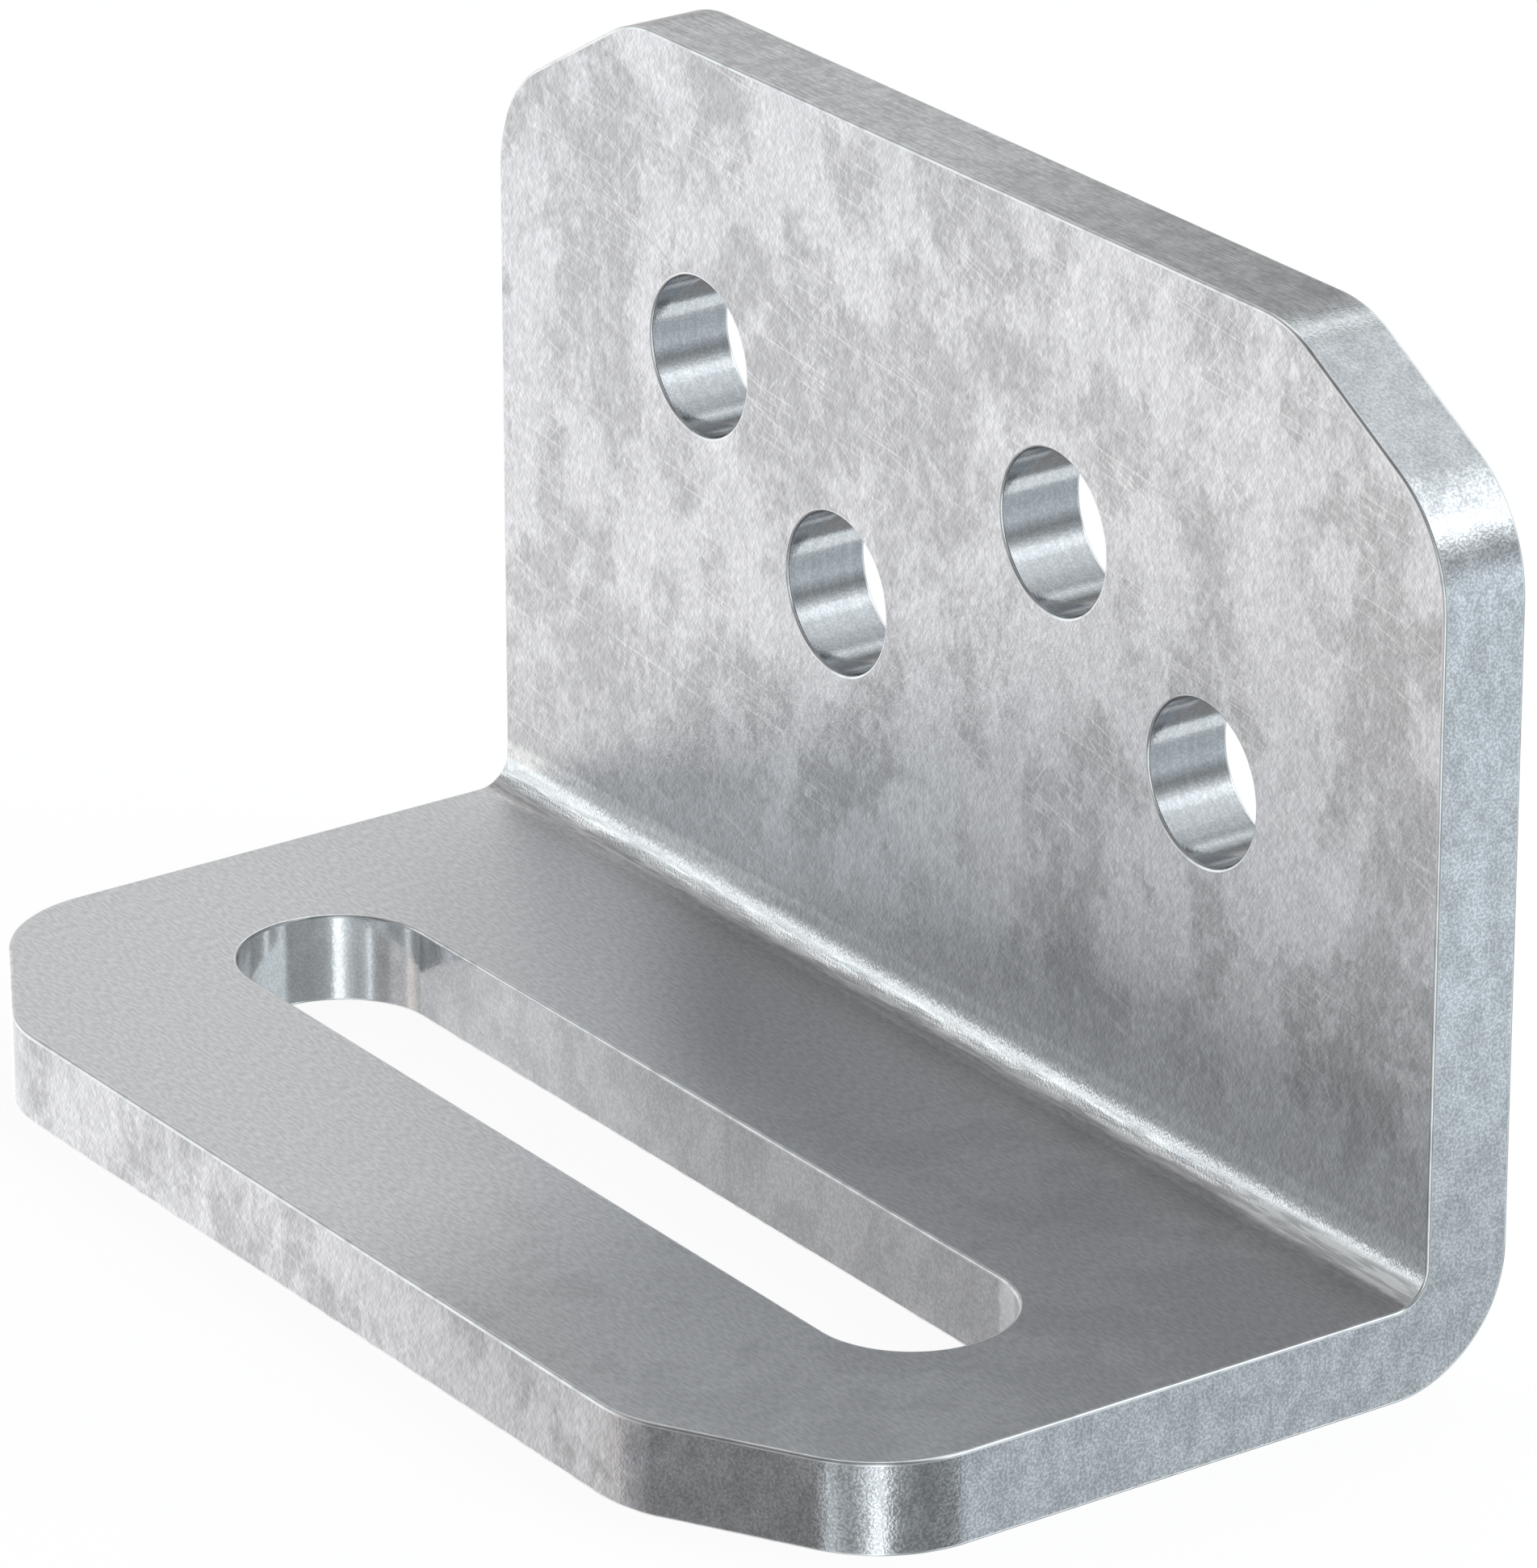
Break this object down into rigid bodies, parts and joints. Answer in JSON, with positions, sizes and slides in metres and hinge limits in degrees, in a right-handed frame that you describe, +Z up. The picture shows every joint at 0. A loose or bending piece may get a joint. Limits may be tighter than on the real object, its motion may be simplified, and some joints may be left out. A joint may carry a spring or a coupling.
{
  "type": "angle connection plate",
  "caption": "Folded steel angle plate with snipped rounded corners, a long slot in the base leg and staggered bolt holes in the upright leg.",
  "frame": {"origin": "under the middle of the plate, on the plane of the base's underside", "axes": "+X along the bend, +Y from the base's front edge to the upright's back, +Z up along the upright"},
  "size_m": [0.13, 0.071, 0.084],
  "materials": {
    "galvanised_steel": "bare galvanised sheet, satin and cloudy, with brushed cut edges"
  },
  "bodies": {
    "root": {"connection_plate": "galvanised_steel"}
  },
  "joints": []
}
